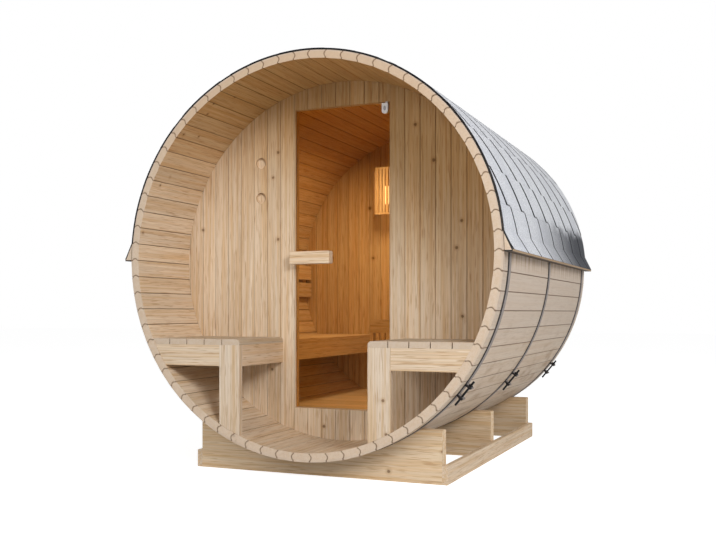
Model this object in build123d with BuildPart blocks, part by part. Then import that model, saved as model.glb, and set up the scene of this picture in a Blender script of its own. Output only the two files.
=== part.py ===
from build123d import *
from math import asin, atan2, ceil, cos, degrees, floor, hypot, radians, sin, sqrt, tan
import os

# Barrel sauna: a horizontal barrel of bead-and-cove staves on a cradle, with an
# open porch in front, a glass door, and a shingled roof over its upper half.
# X is to the right seen from the front, the door faces -Y, Z is up.
# The origin is on the ground, under the middle of the roof. Millimetres.

# Barrel
barrel_radius = 954.0
barrel_length = 2066.0
stave_count = 70
stave_thickness = 42.0
stave_gap = 1.0
bead_chord = 30.0
bead_rise = 9.0
stave_chamfer = 2.5
staves_per_node = 7

# Cradle
saddle_foot = 85.0
saddle_flat = 103.5
saddle_height = 245.0
saddle_thickness = 60.0
saddle_inset = 151.0
saddle_chamfer = 3.0
rail_thickness = 27.0
rail_height = 86.0
rail_edge = 2.0
seat_clearance = 0.35

# Walls
porch_depth = 449.0
rear_recess = 151.0
wall_thickness = 45.0
board_width = 79.0
first_joint = 266.5
groove_width = 5.0
groove_depth = 3.0
piece_gap = 0.4

# Door
door_width = 513.0
door_foot_room = 162.0
door_head_room = 130.0
door_shift = 3.0
glass_thickness = 8.0
glass_recess = 3.0
door_gap = 6.0
glass_corner = 4.0
pivot_inset = 12.0
pivot_radius = 4.0
pivot_play = 0.08
pivot_length = 18.0
pivot_flange_radius = 9.0
pivot_flange = 2.0
hinge_width = 32.0
hinge_height = 52.0
hinge_cover = 6.0
hinge_edge = 8.0
hinge_core_width = 18.0
hinge_core_height = 36.0
hinge_round = 14.0
glass_clearance = 0.1
cut_margin = 1.0

# Door handles
handle_length = 226.0
handle_height = 65.0
handle_depth = 48.0
handle_standoff = 10.0
handle_overhang = 14.0
handle_rise = 735.0
handle_round = 5.0
spacer_radius = 11.0
spacer_pitch = 120.0
inner_handle_length = 155.0
inner_handle_height = 44.0
inner_handle_depth = 35.0
inner_handle_inset = 36.0

# Vents in the front wall
vent_radius = 29.0
vent_door_room = 208.5
vent_rises = (341.0, 525.0)
vent_plug_recess = 10.0
vent_plug_thickness = 24.0
vent_plug_gap = 0.4
vent_dish = 4.0

# Boards used for seats, bench, floor and rails
board_thickness = 28.0

# Porch seats
seat_rise = 521.0
seat_door_room = 65.5
seat_slat_gap = 4.7
seat_slat_count = 5
seat_slat_round = 3.0
seat_corner_round = 18.0
seat_apron_height = 102.0
seat_leg_width = 110.0
seat_front_inset = 2.0
seat_cleat_height = 60.0

# Cabin bench, on the left
bench_rise = 503.0
bench_depth = 522.0
bench_slat_count = 4
bench_slat_gap = 9.0
bench_apron_height = 87.0
bench_bearer_width = 45.0
bench_bearer_height = 60.0
bench_end_gap = 3.0

# Backrest above the bench
backrest_inset = 57.0
backrest_slat_height = 95.0
backrest_slat_gap = 21.0
backrest_slat_count = 2
backrest_drop = 157.0
backrest_end_gap = 12.0
backrest_batten_width = 45.0

# Cabin floor
floor_rise = 135.0
floor_slat_count = 14
floor_slat_gap = 7.0
floor_end_gap = 6.0
joist_width = 45.0
joist_spacing = 250.0

# Lamp on the rear wall
lamp_center = -270.0
lamp_rise = 375.0
lamp_shade_height = 306.0
lamp_shade_half_width = 120.0
lamp_shade_front_half_width = 55.0
lamp_shade_depth = 130.0
lamp_slat_thickness = 9.0
lamp_slat_width = 14.0
lamp_slat_pitch = 21.0
lamp_rim_height = 12.0
lamp_bulb_radius = 28.0
lamp_bulb_height = 116.0
lamp_bulb_rise = 76.0
lamp_arm_radius = 14.0

# Heater guard, on the right of the cabin
guard_front = 462.0
guard_left = -232.0
guard_width = 470.0
guard_rise = 468.0
guard_rail_height = 80.0
guard_rail_thickness = 20.0
guard_slat_width = 20.0
guard_slat_gap = 15.0
guard_post = 28.0

# Bands and their tensioners
band_width = 55.0
band_thickness = 1.2
band_clearance = 0.2
band_front_inset = 77.0
band_rear_inset = 61.0
band_saddle_gap = 8.0
lug_angle = -39.0
lug_span = 55.0
lug_height = 32.0
lug_thickness = 6.0
rod_radius = 5.0
rod_length = 137.0
rod_shift = 7.5
rod_offset = 19.0
rod_play = 0.3
nut_across_flats = 17.0
nut_thickness = 8.0

# Roof
roof_clearance = 0.2
roof_rear_overhang = 40.0
shingle_thickness = 1.8
shingle_butt = 3.5
roof_course_angles = (12.4, 22.5, 35.3, 48.05, 60.8, 73.55)
ridge_half_angle = 7.0
eave_overhang = 37.0
eave_rise = 6.0
eave_fascia = 9.0
eave_gap_angle = 0.02

# Values worked out from the driving dimensions
joint_angle = 360.0 / stave_count
half_joint = joint_angle / 2
outer_flat = barrel_radius * cos(radians(half_joint))
inner_flat = outer_flat - stave_thickness
axis_height = saddle_foot + seat_clearance + barrel_radius
front_y = -(barrel_length + roof_rear_overhang) / 2
rear_y = front_y + barrel_length
roof_back_y = rear_y + roof_rear_overhang
roof_length = roof_back_y - front_y
wall_front_y = front_y + porch_depth
wall_back_y = wall_front_y + wall_thickness
rear_wall_back_y = rear_y - rear_recess
rear_wall_front_y = rear_wall_back_y - wall_thickness
wall_radius = inner_flat - seat_clearance
cabin_low = axis_height - wall_radius
cabin_high = axis_height + wall_radius
saddle_half_length = sqrt(
    (barrel_radius + seat_clearance) ** 2 - (axis_height - saddle_height) ** 2
) + saddle_flat
band_inner = barrel_radius + band_clearance
roof_inner = band_inner + band_thickness + roof_clearance

door_left = door_shift - door_width / 2
door_right = door_shift + door_width / 2
door_sill = cabin_low + door_foot_room
door_top = cabin_high - door_head_room
door_height = door_top - door_sill
opening_left = door_left - door_gap
opening_right = door_right + door_gap
opening_bottom = door_sill - door_gap
opening_top = door_top + door_gap
glass_front_y = wall_front_y + glass_recess
glass_back_y = glass_front_y + glass_thickness
pivot_x = door_right - pivot_inset
pivot_y = glass_front_y + glass_thickness / 2
vent_offset = -door_left + vent_door_room
vent_heights = [axis_height + rise for rise in vent_rises]
handle_center_z = door_sill + handle_rise + handle_height / 2

os.makedirs("parts", exist_ok=True)


def save(built, name):
    built.part.label = name
    export_step(built.part, f"parts/{name}.step")


def section(y):
    """The plane across the barrel at y, through its axis, that extrudes towards -Y."""
    return Plane(origin=(0, y, axis_height), x_dir=(1, 0, 0), z_dir=(0, -1, 0))


# The upright plane through the origin, which extrudes towards -Y as well.
upright = Plane(origin=(0, 0, 0), x_dir=(1, 0, 0), z_dir=(0, -1, 0))


def board(x_range, y_range, z_range, mode=Mode.ADD):
    """A squared board between three pairs of limits."""
    size = [high - low for low, high in (x_range, y_range, z_range)]
    middle = [(high + low) / 2 for low, high in (x_range, y_range, z_range)]
    with Locations(tuple(middle)):
        Box(*size, mode=mode)


def barrel_disc(y_low, y_high, mode=Mode.ADD):
    """A disc that fits inside the barrel; with Mode.INTERSECT it trims a part to it."""
    with BuildSketch(section(y_high)) as disc:
        Circle(wall_radius)
    extrude(disc.sketch, amount=y_high - y_low, mode=mode)


# Staves: flat inside and outside, with a bead on one edge and a cove on the other.
# The beads point up on both sides, so that rain runs off the joints.


def joint_bulge(angle):
    """Which way the bead of the joint at this angle points: 1 is anticlockwise."""
    return 1 if cos(radians(angle)) > 0 else -1


def stave_edge(side, bulge):
    """Points of a stave's edge from outside to inside, for a stave that faces +X."""
    lean = radians(half_joint)
    along = Vector(cos(lean), side * sin(lean))
    across = Vector(-side * sin(lean), cos(lean))
    shift = -side * stave_gap / 2
    reach = (outer_flat + inner_flat) / 2 / cos(lean)
    bead_out = along * (reach + bead_chord / 2) + across * shift
    bead_in = along * (reach - bead_chord / 2) + across * shift
    bead_top = along * reach + across * (shift + bulge * bead_rise)
    corner_shift = shift / cos(lean)
    outer = Vector(outer_flat, side * outer_flat * tan(lean) + corner_shift)
    inner = Vector(inner_flat, side * inner_flat * tan(lean) + corner_shift)
    outer_flank = outer - along * stave_chamfer
    inner_flank = inner + along * stave_chamfer
    outer_face = outer - Vector(0, side * stave_chamfer)
    inner_face = inner - Vector(0, side * stave_chamfer)
    return outer_face, outer_flank, bead_out, bead_top, bead_in, inner_flank, inner_face


def stave_sketch(angle):
    """The cross-section of the stave whose middle stands at this angle."""
    left = stave_edge(1, joint_bulge(angle + half_joint))
    right = stave_edge(-1, joint_bulge(angle - half_joint))
    with BuildSketch(Plane.XY, mode=Mode.PRIVATE) as outline:
        with BuildLine():
            for edge in (left, right):
                Polyline(edge[0], edge[1], edge[2])
                ThreePointArc(edge[2], edge[3], edge[4])
                Polyline(edge[4], edge[5], edge[6])
            Line(left[0], right[0])
            Line(left[6], right[6])
        make_face()
    return outline.sketch


def stave_group(name, first):
    """Seven staves beside each other; stave 0 lies at the bottom of the barrel."""
    with BuildPart() as staves:
        with BuildSketch(section(rear_y)):
            for index in range(first, first + staves_per_node):
                angle = -90 + index * joint_angle
                with Locations(Location((0, 0, 0), (0, 0, angle))):
                    add(stave_sketch(angle))
        extrude(amount=barrel_length)
    save(staves, name)


groups_a_side = (stave_count // staves_per_node - 2) // 2
half_group = staves_per_node // 2
stave_group("staves_bottom", -half_group)
for number in range(groups_a_side):
    past = half_group + 1 + number * staves_per_node
    stave_group(f"staves_right_{number + 1}", past)
    stave_group(f"staves_left_{number + 1}", -past - staves_per_node + 1)
stave_group("staves_top", stave_count // 2 - half_group)


# Cradle: three saddles cut to the barrel's curve, with a rail screwed to their ends.

saddle_places = (
    front_y + saddle_inset + saddle_thickness / 2,
    (front_y + rear_y) / 2,
    rear_y - saddle_inset - saddle_thickness / 2,
)

for place, name in zip(saddle_places, ("saddle_front", "saddle_middle", "saddle_rear")):
    with BuildPart() as saddle:
        board(
            (-saddle_half_length, saddle_half_length),
            (place - saddle_thickness / 2, place + saddle_thickness / 2),
            (0, saddle_height),
        )
        ends = saddle.edges().filter_by(Axis.Y).group_by(Axis.Z)[-1]
        chamfer(ends, saddle_chamfer)
        with BuildSketch(section(place + saddle_thickness)):
            Circle(barrel_radius + seat_clearance)
        extrude(amount=2 * saddle_thickness, mode=Mode.SUBTRACT)
    save(saddle, name)

rail_front_y = saddle_places[0] - saddle_thickness / 2
rail_rear_y = saddle_places[-1] + saddle_thickness / 2
with BuildPart() as rails:
    for side in (-1, 1):
        inner_x = side * (saddle_half_length + piece_gap)
        outer_x = inner_x + side * rail_thickness
        board(sorted((inner_x, outer_x)), (rail_front_y, rail_rear_y), (0, rail_height))
    chamfer(rails.edges().filter_by(Axis.Y), rail_edge)
save(rails, "cradle_rails")


# Walls of upright boards, with a V groove at each joint on both faces.


def groove_wall(start, x_low, x_high, y_front, y_back):
    """Cuts the V grooves between two limits; one joint of the wall lies at start."""
    first = ceil((x_low + groove_width - start) / board_width)
    last = floor((x_high - groove_width - start) / board_width)
    with BuildSketch(Plane.XY) as grooves:
        for place in [start + count * board_width for count in range(first, last + 1)]:
            for face_y, inward in ((y_front, 1), (y_back, -1)):
                with BuildLine():
                    Polyline(
                        (place - groove_width / 2, face_y),
                        (place, face_y + inward * groove_depth),
                        (place + groove_width / 2, face_y),
                        close=True,
                    )
                make_face()
    extrude(grooves.sketch, amount=2 * axis_height, mode=Mode.SUBTRACT)


ceiling = 2 * axis_height
wall_pieces = {
    "front_wall_left": (-first_joint, (-barrel_radius, opening_left), (0, ceiling)),
    "front_wall_right": (first_joint, (opening_right, barrel_radius), (0, ceiling)),
    "front_wall_bottom": (
        -first_joint,
        (opening_left + piece_gap, opening_right - piece_gap),
        (0, opening_bottom),
    ),
    "front_wall_top": (
        -first_joint,
        (opening_left + piece_gap, opening_right - piece_gap),
        (opening_top, ceiling),
    ),
}

for name, (start, x_range, z_range) in wall_pieces.items():
    with BuildPart() as wall:
        barrel_disc(wall_front_y, wall_back_y)
        board(x_range, (wall_front_y, wall_back_y), z_range, mode=Mode.INTERSECT)
        groove_wall(start, *x_range, wall_front_y, wall_back_y)
        if name == "front_wall_left":
            with BuildSketch(upright.offset(-wall_back_y)):
                with Locations(*[(-vent_offset, height) for height in vent_heights]):
                    Circle(vent_radius)
            extrude(amount=wall_thickness, mode=Mode.SUBTRACT)
    save(wall, name)

with BuildPart() as rear_wall:
    barrel_disc(rear_wall_front_y, rear_wall_back_y)
    groove_wall(
        -first_joint, -barrel_radius, barrel_radius, rear_wall_front_y, rear_wall_back_y
    )
save(rear_wall, "rear_wall")

# Turned plugs that close the two air vents, dished on the porch side.
plug_front_y = wall_front_y + vent_plug_recess
with BuildPart() as vent_plugs:
    plug_plane = upright.offset(-plug_front_y - vent_plug_thickness)
    with BuildSketch(plug_plane):
        with Locations(*[(-vent_offset, height) for height in vent_heights]):
            Circle(vent_radius - vent_plug_gap)
    extrude(amount=vent_plug_thickness)
    with BuildSketch(plug_plane.offset(vent_plug_thickness - vent_dish)):
        with Locations(*[(-vent_offset, height) for height in vent_heights]):
            Circle(vent_radius - 2 * vent_dish)
    extrude(amount=vent_dish, mode=Mode.SUBTRACT)
save(vent_plugs, "vent_plugs")


# Door: one sheet of glass on two pivot hinges at its right edge.

core_left = pivot_x - hinge_core_width / 2
hinge_left = pivot_x + hinge_edge - hinge_width

with BuildPart() as door_glass:
    with BuildSketch(upright.offset(-glass_back_y)):
        with Locations((door_shift, door_sill + door_height / 2)):
            RectangleRounded(door_width, door_height, glass_corner)
        for notch_low in (door_sill, door_top - hinge_core_height):
            with Locations((core_left - glass_clearance, notch_low - glass_clearance)):
                Rectangle(
                    door_right - core_left + 2 * glass_clearance,
                    hinge_core_height + 2 * glass_clearance,
                    align=(Align.MIN, Align.MIN),
                    mode=Mode.SUBTRACT,
                )
    extrude(amount=glass_thickness)
save(door_glass, "door_glass")

hinge_front_y = glass_front_y - hinge_cover
hinge_back_y = glass_back_y + hinge_cover
with BuildPart() as door_hinges:
    for low, core_low, point in (
        (door_sill, door_sill, 1),
        (door_top - hinge_height, door_top - hinge_core_height, -1),
    ):
        with BuildSketch(upright.offset(-hinge_back_y)) as shield:
            with Locations((hinge_left, low)):
                Rectangle(hinge_width, hinge_height, align=(Align.MIN, Align.MIN))
            pointed = shield.vertices().group_by(Axis.Y)[-1 if point > 0 else 0]
            fillet(pointed, hinge_round)
        extrude(amount=hinge_back_y - hinge_front_y)
        board(
            (hinge_left - cut_margin, core_left),
            (glass_front_y - glass_clearance, glass_back_y + glass_clearance),
            (low - cut_margin, low + hinge_height + cut_margin),
            mode=Mode.SUBTRACT,
        )
        slot_low = core_low + hinge_core_height if point > 0 else low - cut_margin
        slot_high = low + hinge_height + cut_margin if point > 0 else core_low
        board(
            (core_left - cut_margin, pivot_x + hinge_edge + cut_margin),
            (glass_front_y - glass_clearance, glass_back_y + glass_clearance),
            (slot_low, slot_high),
            mode=Mode.SUBTRACT,
        )
        bore_low = low - cut_margin if point > 0 else door_top - pivot_length
        bore_high = door_sill + pivot_length if point > 0 else door_top + cut_margin
        with BuildSketch(Plane.XY.offset(bore_low)):
            with Locations((pivot_x, pivot_y)):
                Circle(pivot_radius + pivot_play)
        extrude(amount=bore_high - bore_low, mode=Mode.SUBTRACT)
save(door_hinges, "door_hinges")

# The pins stand in the wall above and below the door, and turn in the hinges.
with BuildPart() as door_pivots:
    for face_z, inward in ((opening_bottom, 1), (opening_top, -1)):
        with BuildSketch(Plane.XY.offset(face_z)):
            with Locations((pivot_x, pivot_y)):
                Circle(pivot_flange_radius)
        extrude(amount=inward * pivot_flange)
        with BuildSketch(Plane.XY.offset(face_z)):
            with Locations((pivot_x, pivot_y)):
                Circle(pivot_radius)
        extrude(amount=inward * pivot_length)
save(door_pivots, "door_pivots")

handle_left = door_left - handle_overhang
handle_back_y = glass_front_y - handle_standoff
with BuildPart() as door_handle:
    board(
        (handle_left, handle_left + handle_length),
        (handle_back_y - handle_depth, handle_back_y),
        (handle_center_z - handle_height / 2, handle_center_z + handle_height / 2),
    )
    fillet(door_handle.edges(), handle_round)
    spacer_x = handle_left + handle_length / 2
    with BuildSketch(upright.offset(-glass_front_y)):
        with Locations(*[(spacer_x + turn * spacer_pitch / 2, handle_center_z) for turn in (-1, 1)]):
            Circle(spacer_radius)
    extrude(amount=handle_standoff)
save(door_handle, "door_handle_outer")

inner_left = door_left + inner_handle_inset
inner_front_y = glass_back_y + handle_standoff
with BuildPart() as inner_handle:
    board(
        (inner_left, inner_left + inner_handle_length),
        (inner_front_y, inner_front_y + inner_handle_depth),
        (handle_center_z - inner_handle_height / 2, handle_center_z + inner_handle_height / 2),
    )
    fillet(inner_handle.edges(), handle_round)
    spacer_x = inner_left + inner_handle_length / 2
    with BuildSketch(upright.offset(-inner_front_y)):
        with Locations(*[(spacer_x + turn * spacer_pitch / 2, handle_center_z) for turn in (-1, 1)]):
            Circle(spacer_radius)
    extrude(amount=handle_standoff)
save(inner_handle, "door_handle_inner")


# Porch seats in the two front corners, each on one leg and the wall behind it.

seat_height = cabin_low + seat_rise
seat_inner_edge = opening_right + seat_door_room
seat_reach = sqrt(wall_radius**2 - (axis_height - seat_height) ** 2)
seat_slat_pitch = (seat_reach - seat_inner_edge + seat_slat_gap) / seat_slat_count
seat_front_y = front_y + seat_front_inset
seat_back_y = wall_front_y - piece_gap
slat_bottom = seat_height - board_thickness
apron_bottom = slat_bottom - seat_apron_height
slat_width = seat_slat_pitch - seat_slat_gap

for side, word in ((-1, "left"), (1, "right")):
    with BuildPart() as slats:
        for count in range(seat_slat_count):
            low = seat_inner_edge + count * seat_slat_pitch
            high = min(low + slat_width, barrel_radius)
            x_range = sorted((side * low, side * high))
            board(x_range, (seat_front_y, seat_back_y), (slat_bottom, seat_height))
        top_edges = slats.edges().filter_by(Axis.Y).group_by(Axis.Z)[-1].sort_by(Axis.X)
        corner = top_edges[0] if side > 0 else top_edges[-1]
        fillet(corner, seat_corner_round)
        barrel_disc(seat_front_y, seat_back_y, mode=Mode.INTERSECT)
    save(slats, f"porch_seat_{word}_slats")

    frame_top = slat_bottom - piece_gap
    leg_outer = seat_inner_edge + seat_leg_width
    with BuildPart() as frame:
        apron_y = (seat_front_y, seat_front_y + board_thickness)
        board(
            sorted((side * (leg_outer + piece_gap), side * barrel_radius)),
            apron_y,
            (apron_bottom, frame_top),
        )
        board(
            sorted((side * seat_inner_edge, side * (seat_inner_edge + board_thickness))),
            (seat_front_y + board_thickness + piece_gap, seat_back_y),
            (apron_bottom, frame_top),
        )
        board(
            sorted((side * (seat_inner_edge + board_thickness + piece_gap), side * barrel_radius)),
            (seat_back_y - board_thickness, seat_back_y),
            (frame_top - seat_cleat_height, frame_top),
        )
        barrel_disc(seat_front_y, seat_back_y, mode=Mode.INTERSECT)
    save(frame, f"porch_seat_{word}_frame")

    with BuildPart() as leg:
        board(
            sorted((side * seat_inner_edge, side * leg_outer)),
            (seat_front_y, seat_front_y + board_thickness),
            (0, frame_top),
        )
        barrel_disc(seat_front_y, seat_front_y + board_thickness, mode=Mode.INTERSECT)
    save(leg, f"porch_seat_{word}_leg")


# Cabin floor: slats across three joists that stand in the barrel.

floor_height = cabin_low + floor_rise
cabin_front_y = wall_back_y
cabin_back_y = rear_wall_front_y
floor_length = cabin_back_y - cabin_front_y - 2 * floor_end_gap
floor_pitch = (floor_length + floor_slat_gap) / floor_slat_count
joist_top = floor_height - board_thickness - piece_gap

with BuildPart() as floor_slats:
    for count in range(floor_slat_count):
        low = cabin_front_y + floor_end_gap + count * floor_pitch
        board(
            (-barrel_radius, barrel_radius),
            (low, low + floor_pitch - floor_slat_gap),
            (floor_height - board_thickness, floor_height),
        )
    barrel_disc(cabin_front_y, cabin_back_y, mode=Mode.INTERSECT)
save(floor_slats, "floor_slats")

with BuildPart() as floor_joists:
    for place in (-joist_spacing, 0, joist_spacing):
        board(
            (place - joist_width / 2, place + joist_width / 2),
            (cabin_front_y + floor_end_gap, cabin_back_y - floor_end_gap),
            (0, joist_top),
        )
    barrel_disc(cabin_front_y, cabin_back_y, mode=Mode.INTERSECT)
save(floor_joists, "floor_joists")


# Cabin bench along the left wall: slats, a front apron, and bearers on the walls.

bench_height = cabin_low + bench_rise
bench_front_edge = wall_radius - bench_depth
bench_reach = sqrt(wall_radius**2 - (axis_height - bench_height) ** 2)
bench_slat_pitch = (bench_reach - bench_front_edge + bench_slat_gap) / bench_slat_count
bench_slat_bottom = bench_height - board_thickness
bench_frame_top = bench_slat_bottom - piece_gap
bench_y = (cabin_front_y + bench_end_gap, cabin_back_y - bench_end_gap)

with BuildPart() as bench_slats:
    for count in range(bench_slat_count):
        near = -bench_front_edge - count * bench_slat_pitch
        far = near - bench_slat_pitch + bench_slat_gap
        board((far, near), bench_y, (bench_slat_bottom, bench_height))
    fillet(bench_slats.edges().filter_by(Axis.Y).group_by(Axis.Z)[-1], seat_slat_round)
    barrel_disc(*bench_y, mode=Mode.INTERSECT)
save(bench_slats, "bench_slats")

apron_back = -bench_front_edge - board_thickness
with BuildPart() as bench_frame:
    board(
        (apron_back, -bench_front_edge),
        (cabin_front_y + piece_gap, cabin_back_y - piece_gap),
        (bench_frame_top - bench_apron_height, bench_frame_top),
    )
    bearer_room = cabin_back_y - cabin_front_y - 2 * piece_gap - bench_bearer_width
    for share in (0, 0.5, 1):
        low = cabin_front_y + piece_gap + share * bearer_room
        board(
            (-barrel_radius, apron_back - piece_gap),
            (low, low + bench_bearer_width),
            (bench_frame_top - bench_bearer_height, bench_frame_top),
        )
    barrel_disc(cabin_front_y, cabin_back_y, mode=Mode.INTERSECT)
save(bench_frame, "bench_frame")


# Backrest: two slats on upright battens that follow the barrel.

backrest_y = (cabin_front_y + backrest_end_gap, cabin_back_y - backrest_end_gap)
backrest_face = wall_radius - backrest_inset
backrest_bottom = axis_height - backrest_drop
backrest_back = -backrest_face - board_thickness
backrest_pitch = backrest_slat_height + backrest_slat_gap
backrest_top = backrest_bottom + backrest_slat_count * backrest_pitch - backrest_slat_gap
with BuildPart() as backrest_slats:
    for count in range(backrest_slat_count):
        low = backrest_bottom + count * backrest_pitch
        board((backrest_back, -backrest_face), backrest_y, (low, low + backrest_slat_height))
    fillet(backrest_slats.edges().filter_by(Axis.Y).group_by(Axis.X)[-1], seat_slat_round)
save(backrest_slats, "backrest_slats")

with BuildPart() as backrest_battens:
    batten_room = backrest_y[1] - backrest_y[0] - backrest_batten_width - 2 * board_thickness
    for share in (0, 0.5, 1):
        low = backrest_y[0] + board_thickness + share * batten_room
        board(
            (-barrel_radius, backrest_back - piece_gap),
            (low, low + backrest_batten_width),
            (backrest_bottom, backrest_top),
        )
    barrel_disc(*backrest_y, mode=Mode.INTERSECT)
save(backrest_battens, "backrest_battens")


# Lamp on the rear wall, behind a three-sided shade of upright slats.

lamp_bottom = axis_height + lamp_rise
lamp_bulb_bottom = lamp_bottom + lamp_bulb_rise
shade_back_y = cabin_back_y - piece_gap
shade_front_y = shade_back_y - lamp_shade_depth
shade_corners = [
    (lamp_center - lamp_shade_half_width, shade_back_y),
    (lamp_center - lamp_shade_front_half_width, shade_front_y),
    (lamp_center + lamp_shade_front_half_width, shade_front_y),
    (lamp_center + lamp_shade_half_width, shade_back_y),
]


def shade_sides():
    """Start, direction, length and turn of the shade's three sides."""
    for start, end in zip(shade_corners, shade_corners[1:]):
        length = hypot(end[0] - start[0], end[1] - start[1])
        direction = ((end[0] - start[0]) / length, (end[1] - start[1]) / length)
        yield start, direction, length, degrees(atan2(direction[1], direction[0]))


with BuildPart() as lamp_shade:
    with BuildSketch(Plane.XY.offset(lamp_bottom)) as shade_plan:
        with BuildLine() as shade_line:
            Polyline(*shade_corners)
            offset(amount=lamp_slat_thickness, side=Side.RIGHT, closed=True)
        make_face()
        keep = Rectangle(
            4 * lamp_shade_half_width,
            2 * (shade_back_y - shade_front_y),
            mode=Mode.PRIVATE,
        ).moved(Location((lamp_center, shade_front_y)))
        add(keep, mode=Mode.INTERSECT)
    extrude(amount=lamp_rim_height)
    with BuildSketch(Plane.XY.offset(lamp_bottom + lamp_shade_height - lamp_rim_height)):
        add(shade_plan.sketch_local)
    extrude(amount=lamp_rim_height)
    with BuildSketch(Plane.XY.offset(lamp_bottom)):
        for start, direction, length, turn in shade_sides():
            copies = int(length // lamp_slat_pitch)
            for count in range(copies):
                along = (count + 0.5) * length / copies
                inward = -lamp_slat_thickness / 2
                center = (
                    start[0] + direction[0] * along - direction[1] * inward,
                    start[1] + direction[1] * along + direction[0] * inward,
                )
                with Locations(Location((center[0], center[1], 0), (0, 0, turn))):
                    Rectangle(lamp_slat_width, lamp_slat_thickness)
        add(shade_plan.sketch_local, mode=Mode.INTERSECT)
    extrude(amount=lamp_shade_height)
save(lamp_shade, "lamp_shade")

lamp_y = shade_back_y - lamp_shade_depth / 2
with BuildPart() as lamp_bulb:
    with BuildSketch(Plane.XY.offset(lamp_bulb_bottom)):
        with Locations((lamp_center, lamp_y)):
            Circle(lamp_bulb_radius)
    extrude(amount=lamp_bulb_height)
    fillet(lamp_bulb.edges().group_by(Axis.Z)[-1], lamp_bulb_radius * 0.6)
    arm_z = lamp_bulb_bottom + lamp_arm_radius
    with BuildSketch(upright.offset(-shade_back_y)):
        with Locations((lamp_center, arm_z)):
            Circle(lamp_arm_radius)
    extrude(amount=shade_back_y - lamp_y)
save(lamp_bulb, "lamp_bulb")


# Heater guard: a slatted front and two side rails to the rear wall.

guard_top = floor_height + guard_rise
guard_y = rear_wall_front_y - guard_front
guard_right = guard_left + guard_width
guard_low = floor_height + piece_gap
guard_rail_low = guard_top - guard_rail_height
guard_front_range = (guard_y, guard_y + guard_rail_thickness)
guard_post_y = guard_front_range[1] + piece_gap

with BuildPart() as guard_frame:
    board((guard_left, guard_right), guard_front_range, (guard_rail_low, guard_top))
    for post_x in (guard_left, guard_right - guard_post):
        board(
            (post_x, post_x + guard_post),
            (guard_post_y, guard_post_y + guard_post),
            (guard_low, guard_top),
        )
        board(
            (post_x, post_x + guard_post),
            (guard_post_y + guard_post + piece_gap, rear_wall_front_y - piece_gap),
            (guard_rail_low, guard_top),
        )
save(guard_frame, "heater_guard_frame")

guard_slat_room = guard_width - guard_slat_width
guard_slat_count = floor(guard_slat_room / (guard_slat_width + guard_slat_gap)) + 1
with BuildPart() as guard_slats:
    for count in range(guard_slat_count):
        low = guard_left + count * guard_slat_room / (guard_slat_count - 1)
        board(
            (low, low + guard_slat_width),
            guard_front_range,
            (guard_low, guard_rail_low - piece_gap),
        )
save(guard_slats, "heater_guard_slats")


# Bands: flat steel straps with upright lugs, pulled tight by a threaded rod.

band_names = ("front", "middle", "rear")
lug_radius = band_inner + rod_offset
half_lug = degrees(asin(lug_span / 2 / lug_radius))


def lug_location(angle):
    return Location((0, 0, 0), (0, 0, angle))


middle_band_y = saddle_places[1] - saddle_thickness / 2 - band_saddle_gap
band_backs = (
    front_y + band_front_inset + band_width,
    middle_band_y,
    rear_y - band_rear_inset,
)

for band_back_y, word in zip(band_backs, band_names):
    with BuildPart() as band:
        with BuildSketch(section(band_back_y)):
            Circle(band_inner + band_thickness)
            for turn in (-1, 1):
                with Locations(lug_location(lug_angle + turn * half_lug)):
                    with Locations((band_inner, turn * lug_thickness / 2)):
                        Rectangle(lug_height, lug_thickness, align=(Align.MIN, Align.CENTER))
            Circle(band_inner, mode=Mode.SUBTRACT)
        extrude(amount=band_width)
        rod_direction = Vector(-sin(radians(lug_angle)), 0, cos(radians(lug_angle)))
        rod_middle = Vector(
            lug_radius * cos(radians(lug_angle)),
            band_back_y - band_width / 2,
            axis_height + lug_radius * sin(radians(lug_angle)),
        )
        lugs_along = rod_length / 2 + rod_shift
        rod_start = rod_middle - rod_direction * lugs_along
        rod_plane = Plane(origin=rod_start, z_dir=rod_direction)
        with BuildSketch(rod_plane):
            Circle(rod_radius + rod_play)
        extrude(amount=rod_length, mode=Mode.SUBTRACT)
    save(band, f"band_{word}")

    with BuildPart() as tensioner:
        with BuildSketch(rod_plane):
            Circle(rod_radius)
        extrude(amount=rod_length)
        nut_seat = lug_span / 2 + lug_thickness + piece_gap
        for start in (lugs_along - nut_seat - nut_thickness, lugs_along + nut_seat):
            with BuildSketch(rod_plane.offset(start)):
                RegularPolygon(nut_across_flats / 2, 6, major_radius=False)
            extrude(amount=nut_thickness)
    save(tensioner, f"tensioner_{word}")


# Roof: a wedge board at each eave, and shingle courses that run up to the ridge.


def polar(radius, angle):
    return Vector(radius * cos(radians(angle)), radius * sin(radians(angle)))


def mirrored(points, side):
    return [(side * point.X, point.Y) for point in points]


# The wedge lies against the first flat stave above the widest part of the barrel.
wedge_radius = roof_inner / cos(radians(half_joint))
wedge_top = polar(wedge_radius, joint_angle)
wedge_heel = Vector(wedge_radius, eave_rise - eave_fascia)
wedge_toe = Vector(barrel_radius + eave_overhang, eave_rise - eave_fascia)
wedge_side = Vector(wedge_radius, 0)
wedge_tip = Vector(barrel_radius + eave_overhang, eave_rise)

for side, word in ((-1, "left"), (1, "right")):
    with BuildPart() as eave:
        with BuildSketch(section(roof_back_y)):
            with BuildLine():
                corners = (wedge_top, wedge_side, wedge_heel, wedge_toe, wedge_tip)
                Polyline(*mirrored(corners, side), close=True)
            make_face()
        extrude(amount=roof_length)
    save(eave, f"eave_board_{word}")

flare = (wedge_tip - wedge_top).normalized()
flare_out = Vector(-flare.Y, flare.X)
flare_inner = wedge_radius + roof_clearance
first_course_top = roof_course_angles[0] - eave_gap_angle

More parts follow.
